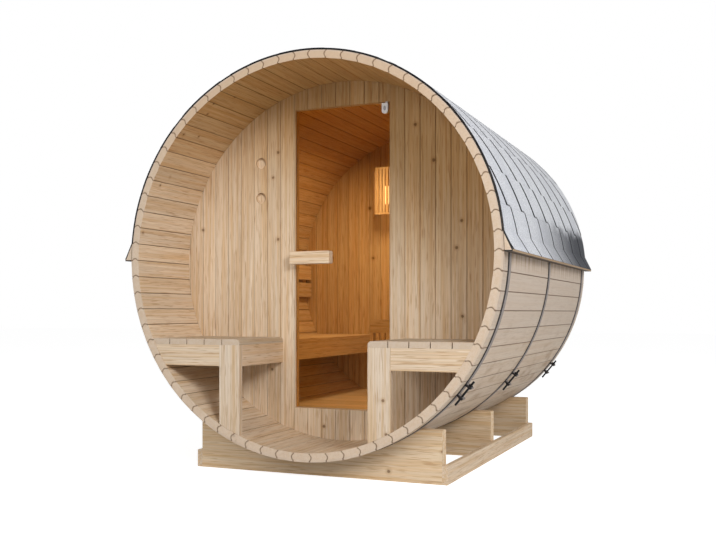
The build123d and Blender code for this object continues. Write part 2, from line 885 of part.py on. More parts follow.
for side, word in ((-1, "left"), (1, "right")):
    with BuildPart() as shingles:
        bend_angle = (first_course_top + joint_angle) / 2
        inner = [polar(flare_inner, angle) for angle in (first_course_top, bend_angle, joint_angle)]
        outer_radius = flare_inner + shingle_thickness
        outer = [polar(outer_radius, angle) for angle in (joint_angle, bend_angle, first_course_top)]
        inner_tip = wedge_tip + flare_out * roof_clearance
        outer_tip = inner_tip + flare_out * shingle_thickness
        with BuildSketch(section(roof_back_y)):
            with BuildLine():
                ThreePointArc(*mirrored(inner, side))
                Polyline(*mirrored((inner[2], inner_tip, outer_tip, outer[0]), side))
                ThreePointArc(*mirrored(outer, side))
                Line(*mirrored((outer[2], inner[0]), side))
            make_face()
        extrude(amount=roof_length)
        highs = roof_course_angles[1:] + (90 - ridge_half_angle,)
        for low, high in zip(roof_course_angles, highs):
            angles = (low, (low + high) / 2, high - eave_gap_angle)
            inner = [polar(roof_inner, angle) for angle in angles]
            heights = (shingle_butt, (shingle_butt + shingle_thickness) / 2, shingle_thickness)
            outer = [polar(roof_inner + up, angle) for up, angle in zip(heights, angles)]
            with BuildSketch(section(roof_back_y)):
                with BuildLine():
                    ThreePointArc(*mirrored(inner, side))
                    ThreePointArc(*mirrored(outer, side))
                    Line(*mirrored((inner[0], outer[0]), side))
                    Line(*mirrored((inner[2], outer[2]), side))
                make_face()
            extrude(amount=roof_length)
    save(shingles, f"roof_shingles_{word}")

with BuildPart() as ridge:
    angles = [90 + turn * (ridge_half_angle - eave_gap_angle) for turn in (-1, 0, 1)]
    inner = [polar(roof_inner, angle) for angle in angles]
    outer = [polar(roof_inner + shingle_butt, angle) for angle in angles]
    with BuildSketch(section(roof_back_y)):
        with BuildLine():
            ThreePointArc(*mirrored(inner, 1))
            ThreePointArc(*mirrored(outer, 1))
            Line(*mirrored((inner[0], outer[0]), 1))
            Line(*mirrored((inner[2], outer[2]), 1))
        make_face()
    extrude(amount=roof_length)
save(ridge, "roof_ridge")
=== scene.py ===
import math

import bmesh
import bpy
from mathutils import Matrix, Vector


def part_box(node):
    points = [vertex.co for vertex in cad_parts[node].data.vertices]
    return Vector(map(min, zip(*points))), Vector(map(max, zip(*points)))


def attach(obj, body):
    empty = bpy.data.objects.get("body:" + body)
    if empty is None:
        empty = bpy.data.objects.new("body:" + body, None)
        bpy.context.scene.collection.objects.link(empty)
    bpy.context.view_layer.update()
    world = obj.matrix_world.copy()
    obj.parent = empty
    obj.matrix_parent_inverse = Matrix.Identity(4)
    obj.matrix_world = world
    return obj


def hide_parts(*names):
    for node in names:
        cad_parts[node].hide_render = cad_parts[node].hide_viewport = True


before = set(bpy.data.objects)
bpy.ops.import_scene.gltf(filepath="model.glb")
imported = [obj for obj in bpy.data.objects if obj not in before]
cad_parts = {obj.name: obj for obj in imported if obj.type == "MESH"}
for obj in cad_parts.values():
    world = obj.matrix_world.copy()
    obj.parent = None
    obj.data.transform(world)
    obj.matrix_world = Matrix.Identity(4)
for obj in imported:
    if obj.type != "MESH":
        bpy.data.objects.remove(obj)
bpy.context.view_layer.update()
print("frame loaded:", len(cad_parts), "nodes")

# The barrel as the frame has it. Its axis runs along Y and the door faces -Y.
ringBottom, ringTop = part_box("staves_bottom")[0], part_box("staves_top")[1]
staveCount = 70
barrel = {
    "front": ringBottom.y,
    "rear": ringTop.y,
    "axisHeight": (ringBottom.z + ringTop.z) / 2,
    "radius": (ringTop.z - ringBottom.z) / 2,
    "staveThickness": 0.042,
    "staveTurn": math.tau / staveCount,
}


# Small tools


def finishPiece(name, bm, materials, body="body", replaced=()):
    bmesh.ops.recalc_face_normals(bm, faces=bm.faces[:])
    mesh = bpy.data.meshes.new(name)
    bm.to_mesh(mesh)
    bm.free()
    for material in materials:
        mesh.materials.append(material)
    piece = bpy.data.objects.new(name, mesh)
    bpy.context.scene.collection.objects.link(piece)
    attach(piece, body)
    if replaced:
        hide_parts(*replaced)
    return piece


def newMaterial(name):
    material = bpy.data.materials.new(name)
    material.use_nodes = True
    tree = material.node_tree
    return material, tree, tree.nodes["Principled BSDF"]


def setOrLink(tree, socket, value):
    if isinstance(value, bpy.types.NodeSocket):
        tree.links.new(value, socket)
    elif isinstance(value, tuple) and socket.type == "RGBA":
        socket.default_value = (*value, 1)
    else:
        socket.default_value = value


def mathNode(tree, operation, *values):
    node = tree.nodes.new("ShaderNodeMath")
    node.operation = operation
    for socket, value in zip(node.inputs, values):
        setOrLink(tree, socket, value)
    return node.outputs[0]


def vectorNode(tree, operation, *values):
    node = tree.nodes.new("ShaderNodeVectorMath")
    node.operation = operation
    for socket, value in zip(node.inputs, values):
        setOrLink(tree, socket, value)
    return node


def combine(tree, *values):
    node = tree.nodes.new("ShaderNodeCombineXYZ")
    for socket, value in zip(node.inputs, values):
        setOrLink(tree, socket, value)
    return node.outputs[0]


def split(tree, vector):
    node = tree.nodes.new("ShaderNodeSeparateXYZ")
    setOrLink(tree, node.inputs[0], vector)
    return node.outputs[0], node.outputs[1], node.outputs[2]


def mixColour(tree, factor, first, second, blend="MIX"):
    node = tree.nodes.new("ShaderNodeMix")
    node.data_type = "RGBA"
    node.blend_type = blend
    for socket, value in zip((node.inputs[0], node.inputs[6], node.inputs[7]), (factor, first, second)):
        setOrLink(tree, socket, value)
    return node.outputs[2]


def smoothRange(tree, value, low, high, toLow=0.0, toHigh=1.0):
    node = tree.nodes.new("ShaderNodeMapRange")
    node.interpolation_type = "SMOOTHSTEP"
    for label, number in (("Value", value), ("From Min", low), ("From Max", high),
                          ("To Min", toLow), ("To Max", toHigh)):
        setOrLink(tree, node.inputs[label], number)
    return node.outputs[0]


def noiseAt(tree, place, stretch, detail=2.0):
    node = tree.nodes.new("ShaderNodeTexNoise")
    node.inputs["Scale"].default_value = 1.0
    node.inputs["Detail"].default_value = detail
    setOrLink(tree, node.inputs["Vector"], vectorNode(tree, "MULTIPLY", place, stretch).outputs[0])
    return node.outputs[0]


def newGroup(name, inputs, outputs):
    tree = bpy.data.node_groups.new(name, "ShaderNodeTree")
    for label, kind in inputs.items():
        tree.interface.new_socket(label, in_out="INPUT", socket_type=kind)
    for label in outputs:
        tree.interface.new_socket(label, in_out="OUTPUT", socket_type="NodeSocketFloat")
    return tree, tree.nodes.new("NodeGroupInput").outputs, tree.nodes.new("NodeGroupOutput").inputs


def useGroup(tree, group, **values):
    node = tree.nodes.new("ShaderNodeGroup")
    node.node_tree = group
    for label, value in values.items():
        setOrLink(tree, node.inputs[label], value)
    return node.outputs


def addBump(tree, shader, height, strength, distance):
    bump = tree.nodes.new("ShaderNodeBump")
    bump.inputs["Strength"].default_value = strength
    bump.inputs["Distance"].default_value = distance
    setOrLink(tree, bump.inputs["Height"], height)
    setOrLink(tree, shader.inputs["Normal"], bump.outputs[0])


def objectPlace(tree):
    place = tree.nodes.new("ShaderNodeTexCoord").outputs["Object"]
    return place, split(tree, place)


def frontFace(tree, y, front, share=1.0):
    # The share on a face that is sawn off at the front, and 0 behind it
    return smoothRange(tree, y, front + 0.0004, front + 0.0010, share, 0.0)


def rearFace(tree, y, rear):
    return smoothRange(tree, y, rear - 0.0010, rear - 0.0004)


# Spruce: growth rings round a pith beside each board, long streaks, and a few knots

# Noise sizes are per metre, and ranges give where an effect begins and ends
grainLook = {
    "boardShift": (7.3, 3.1, 17.7),     # where the last board lies in the noise, from the first
    "driftNoise": (7, 7, 1.2),
    "streakNoise": (230, 230, 5),
    "cloudNoise": (60, 60, 1.3),
    "dashNoise": (240, 240, 10),
    "dashRange": (0.56, 0.70),
    "ringPitch": 0.0058,
    "ringWander": 0.0035,
    "lateWoodEnd": 0.86,
    "grainTilt": 0.002,     # how far the pith leans from the board, per metre
    "pithSide": 0.15,
    "pithDepth": 0.060,
    "pithDepthSpread": 0.10,
    "pithDepthTurns": 13.7,
    "knotSpacing": 0.24,
    "knotShare": 0.035,     # share of the places for knots that have one
    "knotHalfWidth": 0.016,
    "knotGrowth": 0.014,
    "knotEdge": (0.7, 1.15),
    "haloEdge": (0.8, 3.0),
    "haloPush": 0.006,      # how far the rings give way to a knot
}
spruce = {
    "pale": (0.735, 0.592, 0.430),
    "lateWood": (0.470, 0.285, 0.130),
    "warm": (0.620, 0.410, 0.215),
    "knotCore": (0.150, 0.075, 0.032),
    "knotHalo": (0.420, 0.240, 0.110),
    "joint": (0.130, 0.070, 0.032),
    "jointFlank": 0.0030,
    "jointFlankShare": 0.35,
    "jointCore": 0.0012,
    "jointCoreShare": 0.85,
    "cloudRange": (0.34, 0.74),
    "warmShare": 0.8,
    "ringContrast": 0.36,
    "dashContrast": 0.62,
    "streakSpan": 0.42,
    "streakLow": 0.80,
    "haloShare": 0.45,
    "coreShare": 0.9,
    "boardShade": 0.13,     # the darkest board is this much darker than the palest
    "roughness": 0.62,
    "specular": 0.25,
    "bumpStrength": 0.15,
    "bumpDistance": 0.0005,
}


def makeGrainGroup():
    # Place is in metres with the grain along Z; Board is a number from 0 to 1 for each board
    tree, given, ends = newGroup("spruceGrain", {"Place": "NodeSocketVector", "Board": "NodeSocketFloat"},
                                 ["Rings", "Streaks", "Clouds", "Dashes", "Knot", "Halo"])
    place, board = given["Place"], given["Board"]
    shift = vectorNode(tree, "SCALE", grainLook["boardShift"])
    setOrLink(tree, shift.inputs["Scale"], board)
    moved = vectorNode(tree, "ADD", place, shift.outputs[0]).outputs[0]

    cells = tree.nodes.new("ShaderNodeTexVoronoi")
    cells.inputs["Scale"].default_value = 1 / grainLook["knotSpacing"]
    setOrLink(tree, cells.inputs["Vector"], moved)
    choice, knotSize, _ = split(tree, cells.outputs["Color"])
    chosen = mathNode(tree, "LESS_THAN", choice, grainLook["knotShare"])
    halfWidth = mathNode(tree, "MULTIPLY_ADD", knotSize, grainLook["knotGrowth"],
                         grainLook["knotHalfWidth"])
    reach = mathNode(tree, "DIVIDE", cells.outputs["Distance"], halfWidth)
    knot = mathNode(tree, "MULTIPLY", smoothRange(tree, reach, *grainLook["knotEdge"], 1.0, 0.0), chosen)
    halo = mathNode(tree, "MULTIPLY", smoothRange(tree, reach, *grainLook["haloEdge"], 1.0, 0.0), chosen)

    side, deep, along = split(tree, place)
    drift = mathNode(tree, "SUBTRACT", noiseAt(tree, moved, grainLook["driftNoise"]), 0.5)
    drift = mathNode(tree, "MULTIPLY", drift, grainLook["ringWander"])
    lean = mathNode(tree, "MULTIPLY_ADD", along, grainLook["grainTilt"], drift)
    pithSide = mathNode(tree, "MULTIPLY_ADD", board, -2 * grainLook["pithSide"], grainLook["pithSide"])
    pithDepth = mathNode(tree, "FRACT", mathNode(tree, "MULTIPLY", board, grainLook["pithDepthTurns"]))
    pithDepth = mathNode(tree, "MULTIPLY_ADD", pithDepth, grainLook["pithDepthSpread"],
                         grainLook["pithDepth"])
    across = mathNode(tree, "ADD", mathNode(tree, "ADD", side, pithSide), lean)
    below = mathNode(tree, "ADD", mathNode(tree, "ADD", deep, pithDepth), lean)
    fromPith = mathNode(tree, "SQRT", mathNode(tree, "ADD", mathNode(tree, "MULTIPLY", across, across),
                                               mathNode(tree, "MULTIPLY", below, below)))
    fromPith = mathNode(tree, "MULTIPLY_ADD", halo, grainLook["haloPush"], fromPith)
    ring = mathNode(tree, "FRACT", mathNode(tree, "DIVIDE", fromPith, grainLook["ringPitch"]))
    rise = mathNode(tree, "POWER", ring, 2.0)
    rings = mathNode(tree, "MULTIPLY", rise,
                     smoothRange(tree, ring, grainLook["lateWoodEnd"], 1.0, 1.0, 0.0))
    dashes = noiseAt(tree, moved, grainLook["dashNoise"], 1.0)

    setOrLink(tree, ends["Rings"], rings)
    setOrLink(tree, ends["Streaks"], noiseAt(tree, moved, grainLook["streakNoise"], 3.0))
    setOrLink(tree, ends["Clouds"], noiseAt(tree, moved, grainLook["cloudNoise"]))
    setOrLink(tree, ends["Dashes"], smoothRange(tree, dashes, *grainLook["dashRange"]))
    setOrLink(tree, ends["Knot"], knot)
    setOrLink(tree, ends["Halo"], halo)
    return tree


def makeKnotGroup():
    # A single knot with a ragged edge, at a given centre
    tree, given, ends = newGroup("knotSpot", {"Place": "NodeSocketVector", "Centre": "NodeSocketVector",
                                              "HalfWidth": "NodeSocketFloat"}, ["Knot", "Halo"])
    away = vectorNode(tree, "SUBTRACT", given["Place"], given["Centre"]).outputs[0]
    reach = mathNode(tree, "DIVIDE", vectorNode(tree, "LENGTH", away).outputs["Value"], given["HalfWidth"])
    ragged = mathNode(tree, "MULTIPLY_ADD", noiseAt(tree, given["Place"], (160, 160, 160)), 0.7, reach)
    setOrLink(tree, ends["Knot"], smoothRange(tree, ragged, 0.8, 1.45, 0.85, 0.0))
    setOrLink(tree, ends["Halo"], smoothRange(tree, ragged, 1.1, 2.8, 0.8, 0.0))
    return tree


grainGroup = makeGrainGroup()
knotGroup = makeKnotGroup()

# Knots that the eye goes to, by material: centre and half-width in metres
knots = {
    "barrelStaves": [
        ((-0.905, -1.03, 1.18), 0.009), ((-0.81, -1.055, 1.45), 0.007), ((-0.81, -0.935, 1.47), 0.008),
        ((-0.83, -0.985, 1.42), 0.007), ((-0.67, -1.015, 1.66), 0.008), ((-0.66, -0.895, 1.67), 0.007),
        ((-0.435, -0.92, 1.845), 0.008), ((-0.505, -1.00, 1.80), 0.007), ((-0.56, -0.97, 1.76), 0.008),
        ((-0.36, -1.053, 0.19), 0.009), ((-0.35, -1.053, 0.165), 0.006),
    ],
    "wallBoardsLeft": [
        ((-0.82, -0.604, 1.225), 0.010), ((-0.36, -0.604, 1.615), 0.009), ((-0.39, -0.604, 1.485), 0.008),
        ((-0.36, -0.604, 1.16), 0.009), ((-0.395, -0.604, 0.48), 0.009), ((-0.095, -0.604, 0.195), 0.010),
        ((-0.425, 0.817, 1.475), 0.013), ((-0.40, 0.817, 1.14), 0.011),
    ],
    "wallBoardsRight": [
        ((0.61, -0.604, 1.09), 0.010), ((0.635, -0.604, 1.22), 0.009), ((0.495, -0.604, 1.52), 0.011),
        ((0.40, -0.604, 1.70), 0.010), ((0.64, -0.604, 0.76), 0.009),
    ],
    "seatLegs": [((0.405, -1.051, 0.385), 0.009), ((0.42, -1.051, 0.235), 0.008)],
    "saddlePlanks": [((0.635, -0.90, 0.15), 0.008), ((0.375, -0.902, 0.045), 0.010)],
}


def boardNumber(tree, index, seed):
    noise = tree.nodes.new("ShaderNodeTexWhiteNoise")
    noise.noise_dimensions = "1D"
    setOrLink(tree, noise.inputs["W"], mathNode(tree, "ADD", index, seed * 11.3 + 0.37))
    return noise.outputs["Value"]


def fromMiddle(tree, steps):
    # How far a count of boards is from the middle of its board, in boards
    return mathNode(tree, "SUBTRACT", mathNode(tree, "FRACT", steps), 0.5)


def fromWhole(tree, steps):
    # How far a count of boards is from the nearest joint, in boards
    return fromMiddle(tree, mathNode(tree, "ADD", steps, 0.5))


def staveCoordinates(tree, x, y, z):
    # Round the barrel, out from it and along it, in metres, and which stave it is
    up = mathNode(tree, "SUBTRACT", z, barrel["axisHeight"])
    turn = mathNode(tree, "DIVIDE", mathNode(tree, "ARCTAN2", up, x), barrel["staveTurn"])
    staveWidth = barrel["staveTurn"] * barrel["radius"]
    fromJoint = mathNode(tree, "MULTIPLY", fromWhole(tree, turn), staveWidth)
    around = mathNode(tree, "MULTIPLY", fromMiddle(tree, turn), staveWidth)
    radius = mathNode(tree, "SQRT", mathNode(tree, "ADD", mathNode(tree, "MULTIPLY", x, x),
                                             mathNode(tree, "MULTIPLY", up, up)))
    out = mathNode(tree, "SUBTRACT", radius, barrel["radius"])
    return combine(tree, around, out, y), mathNode(tree, "FLOOR", turn), fromJoint, out, up


def boardCoordinates(tree, grain, boardAxis, pitch, start, x, y, z):
    # The same for straight boards, set side by side along boardAxis with their grain along another axis
    axes = {"x": x, "y": y, "z": z}
    index, fromJoint = 0.0, None
    if boardAxis:
        step = mathNode(tree, "DIVIDE", mathNode(tree, "SUBTRACT", axes[boardAxis], start), pitch)
        fromJoint = mathNode(tree, "MULTIPLY", fromWhole(tree, step), pitch)
        index = mathNode(tree, "FLOOR", step)
        axes[boardAxis] = mathNode(tree, "MULTIPLY", fromMiddle(tree, step), pitch)
    side, deep = [axis for axis in "xyz" if axis != grain]
    if boardAxis == deep:
        side, deep = deep, side
    return combine(tree, axes[side], axes[deep], axes[grain]), index, fromJoint


def darkenJoint(tree, colour, fromJoint, share=1.0, wide=1.0):
    near = mathNode(tree, "DIVIDE", mathNode(tree, "ABSOLUTE", fromJoint), wide)
    core = smoothRange(tree, near, spruce["jointCore"] * 0.6, spruce["jointCore"] * 1.5,
                       spruce["jointCoreShare"], 0.0)
    flank = smoothRange(tree, near, spruce["jointCore"], spruce["jointFlank"],
                        spruce["jointFlankShare"], 0.0)
    line = mathNode(tree, "MULTIPLY", mathNode(tree, "MAXIMUM", core, flank), share)
    return mixColour(tree, line, colour, spruce["joint"])


def paintSpruce(tree, shader, name, place, local, board, tint):
    grain = useGroup(tree, grainGroup, Place=local, Board=board)
    knot, halo = grain["Knot"], grain["Halo"]
    for centre, halfWidth in knots.get(name, []):
        spot = useGroup(tree, knotGroup, Place=place, Centre=centre, HalfWidth=halfWidth)
        knot = mathNode(tree, "MAXIMUM", knot, spot["Knot"])
        halo = mathNode(tree, "MAXIMUM", halo, spot["Halo"])
    clouds = smoothRange(tree, grain["Clouds"], *spruce["cloudRange"], 0.0, spruce["warmShare"])
    colour = mixColour(tree, clouds, spruce["pale"], spruce["warm"])
    colour = mixColour(tree, mathNode(tree, "MULTIPLY", grain["Rings"], spruce["ringContrast"]),
                       colour, spruce["lateWood"])
    colour = mixColour(tree, mathNode(tree, "MULTIPLY", grain["Dashes"], spruce["dashContrast"]),
                       colour, spruce["knotHalo"])
    brightness = mathNode(tree, "MULTIPLY_ADD", board, -spruce["boardShade"], 1 + spruce["boardShade"] / 2)
    streak = mathNode(tree, "MULTIPLY_ADD", grain["Streaks"], spruce["streakSpan"], spruce["streakLow"])
    shaded = vectorNode(tree, "MULTIPLY", colour, tint)
    scaled = vectorNode(tree, "SCALE", shaded.outputs[0])
    setOrLink(tree, scaled.inputs["Scale"], mathNode(tree, "MULTIPLY", brightness, streak))
    colour = mixColour(tree, mathNode(tree, "MULTIPLY", halo, spruce["haloShare"]),
                       scaled.outputs[0], spruce["knotHalo"])
    colour = mixColour(tree, mathNode(tree, "MULTIPLY", knot, spruce["coreShare"]),
                       colour, spruce["knotCore"])
    shader.inputs["Roughness"].default_value = spruce["roughness"]
    shader.inputs["Specular IOR Level"].default_value = spruce["specular"]
    addBump(tree, shader, grain["Rings"], spruce["bumpStrength"], spruce["bumpDistance"])
    return colour


wallBoard = {
    "width": 0.079,
    "firstJoint": 0.2665,
    "jointShare": 0.55,
    "shadeLean": 0.5,     # the painted shade reaches further down on the right
    "shadeRange": (0.75, 1.85),
    # painted shade on the wall boards, towards the ceiling
    "paintedShade": (0.560, 0.435, 0.265),
}
plainTint = (1.0, 1.0, 1.0)


def paintWallShade(tree, colour, x, z):
    # Painted shade: the wall boards are darker towards the ceiling
    height = mathNode(tree, "MULTIPLY_ADD", x, wallBoard["shadeLean"], z)
    wallShade = smoothRange(tree, height, *wallBoard["shadeRange"])
    return mixColour(tree, wallShade, colour, wallBoard["paintedShade"], "MULTIPLY")


def makeSpruce(name, grain, boardAxis=None, pitch=0.1, start=0.0, seed=0, tint=plainTint, isWall=False,
               sawnAt=None):
    material, tree, shader = newMaterial(name)
    place, (x, y, z) = objectPlace(tree)
    local, index, fromJoint = boardCoordinates(tree, grain, boardAxis, pitch, start, x, y, z)
    board = boardNumber(tree, index, seed)
    colour = paintSpruce(tree, shader, name, place, local, board, tint)
    if isWall:
        colour = paintWallShade(tree, darkenJoint(tree, colour, fromJoint, wallBoard["jointShare"]), x, z)
    if sawnAt is not None:
        colour = mixColour(tree, frontFace(tree, y, sawnAt, sawnEnd["share"]), colour, sawnEnd["colour"])
    setOrLink(tree, shader.inputs["Base Color"], colour)
    return material


blackForFeltAndShade = (0.014, 0.013, 0.014)
sawnEnd = {"colour": (0.595, 0.465, 0.345), "share": 0.70}

# Staves: plain at their sawn ends, greyer outside, stained by drips below the eaves, and painted darker
# towards the top as shade.
# Out is measured from the outer face and up from the barrel's axis.
staveLook = {
    "paintedShade": (0.680, 0.505, 0.270),    # painted shade inside, under the roof
    "paintedShadeUp": (0.15, 0.85),
    "outside": (0.500, 0.415, 0.340),
    "outsideOut": (-0.014, -0.006),
    "outsideUp": (-0.62, -0.20),
    "outsideShare": (0.45, 0.74),    # low down, where the boards have kept their colour, and above
    "smudgeNoise": (9, 5, 14),
    "smudgeRange": (0.50, 0.72),
    "smudgeShare": 0.55,
    "smudgeUp": (-0.60, -0.25),
    "smudgeShareHigh": 0.12,
    "beadRise": 0.009,
    "beadHalfChord": 0.015,
    "jointWiderSawn": 0.9,
    "jointWiderOutside": 0.4,
    "drip": (0.300, 0.170, 0.080),
    "dripNoise": (1, 24, 1),
    "dripRange": (0.44, 0.62),
    "dripUp": (-0.090, 0.004),
    "dripOut": (-0.010, -0.004),
    "dripShare": 0.85,
    "feltLap": 0.0045,      # how far the roof's black edge laps over the sawn ends
    "feltSoftEdge": 0.0006,
    "feltUp": (0.080, 0.084),
}


def makeStaves():
    material, tree, shader = newMaterial("barrelStaves")
    place, (x, y, z) = objectPlace(tree)
    local, index, fromJoint, out, up = staveCoordinates(tree, x, y, z)
    board = boardNumber(tree, index, 0)
    look = staveLook
    colour = paintSpruce(tree, shader, "barrelStaves", place, local, board, plainTint)

    # Painted shade: darker towards the top of the barrel
    paintedShade = smoothRange(tree, up, *look["paintedShadeUp"])
    colour = mixColour(tree, paintedShade, colour, look["paintedShade"], "MULTIPLY")
    outside = smoothRange(tree, out, *look["outsideOut"])
    aged = smoothRange(tree, up, *look["outsideUp"], *look["outsideShare"])
    colour = mixColour(tree, mathNode(tree, "MULTIPLY", outside, aged), colour, look["outside"])
    smudge = smoothRange(tree, noiseAt(tree, place, look["smudgeNoise"], 3.0), *look["smudgeRange"],
                         0.0, look["smudgeShare"])
    smudge = mathNode(tree, "MULTIPLY", smudge,
                      smoothRange(tree, up, *look["smudgeUp"], 1.0, look["smudgeShareHigh"]))
    colour = mixColour(tree, mathNode(tree, "MULTIPLY", smudge, outside), colour, look["drip"])

    sawn = mathNode(tree, "MAXIMUM", frontFace(tree, y, barrel["front"]), rearFace(tree, y, barrel["rear"]))
    colour = mixColour(tree, mathNode(tree, "MULTIPLY", sawn, sawnEnd["share"]), colour, sawnEnd["colour"])
    middle = mathNode(tree, "DIVIDE", mathNode(tree, "ADD", out, barrel["staveThickness"] / 2),
                      look["beadHalfChord"])
    bead = mathNode(tree, "MULTIPLY_ADD", mathNode(tree, "MULTIPLY", middle, -1.0), middle, 1.0)
    bead = mathNode(tree, "MULTIPLY", mathNode(tree, "MAXIMUM", bead, 0.0), look["beadRise"])
    bead = mathNode(tree, "MULTIPLY", bead, mathNode(tree, "SIGN", x))
    bead = mathNode(tree, "MULTIPLY", bead, sawn)
    wide = mathNode(tree, "MULTIPLY_ADD", sawn, look["jointWiderSawn"], 1.0)
    wide = mathNode(tree, "MULTIPLY_ADD", outside, look["jointWiderOutside"], wide)
    colour = darkenJoint(tree, colour, mathNode(tree, "SUBTRACT", fromJoint, bead), 1.0, wide)

    runs = noiseAt(tree, combine(tree, 0.0, y, 0.0), look["dripNoise"], 3.0)
    hang = smoothRange(tree, up, *look["dripUp"])
    drip = mathNode(tree, "MULTIPLY", smoothRange(tree, runs, *look["dripRange"]), hang)
    drip = mathNode(tree, "MULTIPLY", drip, smoothRange(tree, out, *look["dripOut"], 0.0, look["dripShare"]))
    colour = mixColour(tree, drip, colour, look["drip"])
    lap = smoothRange(tree, mathNode(tree, "ADD", out, look["feltLap"]),
                      -look["feltSoftEdge"], look["feltSoftEdge"])
    lap = mathNode(tree, "MULTIPLY", mathNode(tree, "MULTIPLY", lap, sawn),
                   smoothRange(tree, up, *look["feltUp"]))
    colour = mixColour(tree, lap, colour, blackForFeltAndShade)
    setOrLink(tree, shader.inputs["Base Color"], colour)
    return material


# Eave boards: bare wood with the felt folded over their top edge and under their foot, whose black is also
# painted shade
eaveLook = {
    "fascia": 0.009,        # height of the outer edge
    "fasciaColour": (0.29, 0.18, 0.09),
    "fasciaShare": 0.85,
    "foldDepth": 0.0050,
    "footRange": (-0.0004, 0.0010),
    "topRange": (0.009, 0.013),     # how far below its top edge the sawn end shows bare wood
}


def makeEaveWood(word):
    low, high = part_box(f"eave_board_{word}")
    material, tree, shader = newMaterial(f"eaveWood_{word}")
    place, (x, y, z) = objectPlace(tree)
    local = combine(tree, x, z, y)
    colour = paintSpruce(tree, shader, "eaveWood", place, local, boardNumber(tree, 0.0, 9), plainTint)
    sawn = frontFace(tree, y, low.y)
    share = eaveLook["fasciaShare"]
    colour = mixColour(tree, mathNode(tree, "MULTIPLY_ADD", sawn, -share, share), colour,
                       eaveLook["fasciaColour"])
    colour = mixColour(tree, mathNode(tree, "MULTIPLY", sawn, sawnEnd["share"]), colour, sawnEnd["colour"])
    lapped = mathNode(tree, "MULTIPLY_ADD", sawn, -eaveLook["foldDepth"], -low.z)
    # Felt under the foot, which also paints the shade under the eave
    foot = smoothRange(tree, mathNode(tree, "ADD", z, lapped), *eaveLook["footRange"], 1.0, 0.0)
    tipX = max(abs(low.x), abs(high.x))
    rootX = min(abs(low.x), abs(high.x))
    slope = (high.z - low.z - eaveLook["fascia"]) / (tipX - rootX)
    beside = mathNode(tree, "SUBTRACT", mathNode(tree, "ABSOLUTE", x), rootX)
    line = mathNode(tree, "MULTIPLY_ADD", beside, -slope, high.z)
    top = smoothRange(tree, mathNode(tree, "SUBTRACT", line, z), *eaveLook["topRange"], 1.0, 0.0)
    top = mathNode(tree, "MULTIPLY", top, sawn)
    colour = mixColour(tree, mathNode(tree, "MAXIMUM", foot, top), colour, blackForFeltAndShade)
    setOrLink(tree, shader.inputs["Base Color"], colour)
    return material


def makeSeatAprons(innerEdge):
    # The boards in front have their grain along X and those on the inner sides along Y
    material, tree, shader = newMaterial("seatAprons")
    place, (x, y, z) = objectPlace(tree)
    inner = mathNode(tree, "LESS_THAN", mathNode(tree, "ABSOLUTE", x), innerEdge + seatBoardThickness)
    local = mixColour(tree, inner, combine(tree, z, y, x), combine(tree, z, x, y))
    colour = paintSpruce(tree, shader, "seatAprons", place, local, boardNumber(tree, inner, 5), plainTint)
    setOrLink(tree, shader.inputs["Base Color"], colour)
    return material


# The dished plugs get painted shade, a dark crescent at the side that the light doesn't reach. Measures are
# in radii.
ventLook = {
    "tint": (0.97, 0.93, 0.88),
    "litFrom": 0.72,        # the lit patch's centre, from the plug's left edge
    "litBelow": 0.22,
    "shadeCrescentRange": (0.74, 1.02),
    "shadeCrescentShare": 0.85,
}


def makeVentPlugs():
    low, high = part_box("vent_plugs")
    radius = (high.x - low.x) / 2
    material, tree, shader = newMaterial("ventPlugs")
    place, (x, y, z) = objectPlace(tree)
    local = combine(tree, x, y, z)
    colour = paintSpruce(tree, shader, "ventPlugs", place, local, 0.5, ventLook["tint"])
    upper = mathNode(tree, "GREATER_THAN", z, (low.z + high.z) / 2)
    litZ = mathNode(tree, "MULTIPLY_ADD", upper, high.z - low.z - 2 * radius,
                    low.z + (1 - ventLook["litBelow"]) * radius)
    lit = combine(tree, low.x + ventLook["litFrom"] * radius, 0.0, litZ)
    away = vectorNode(tree, "DISTANCE", combine(tree, x, 0.0, z), lit).outputs["Value"]
    edges = [share * radius for share in ventLook["shadeCrescentRange"]]
    shadeCrescent = smoothRange(tree, away, *edges, 0.0, ventLook["shadeCrescentShare"])
    # Painted shade, in the brown of the drip stains
    setOrLink(tree, shader.inputs["Base Color"], mixColour(tree, shadeCrescent, colour, staveLook["drip"]))
    return material


def dress(material, *nodeNames):
    for nodeName in nodeNames:
        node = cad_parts[nodeName]
        node.data.materials.clear()
        node.data.materials.append(material)


# Which boards each wooden node is cut from
seatBoardThickness = 0.028
slatGaps = {"seat": 0.0047, "bench": 0.009, "floor": 0.007}
seatEdges = [corner.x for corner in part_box("porch_seat_right_slats")]
seatSlat = {"edge": seatEdges[0], "pitch": (seatEdges[1] - seatEdges[0] + slatGaps["seat"]) / 5}
benchEdges = [corner.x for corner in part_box("bench_slats")]
benchSlat = {"edge": benchEdges[1], "pitch": (benchEdges[1] - benchEdges[0] + slatGaps["bench"]) / 4}
backrest = {"low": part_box("backrest_slats")[0].z, "pitch": 0.116}
floorEdges = [corner.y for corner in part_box("floor_slats")]
floorSlat = {"edge": floorEdges[0], "pitch": (floorEdges[1] - floorEdges[0] + slatGaps["floor"]) / 14}
saddle = {"start": -0.6, "pitch": 0.5}    # gives each saddle a board number of its own
tints = {
    "seatSlats": (0.75, 0.78, 0.81),
    "seatLegs": (0.91, 0.93, 0.97),
    "saddles": (0.98, 0.96, 0.90),
    "handles": (1.06, 1.06, 1.06),
    "floor": (1.12, 1.18, 1.28),
}

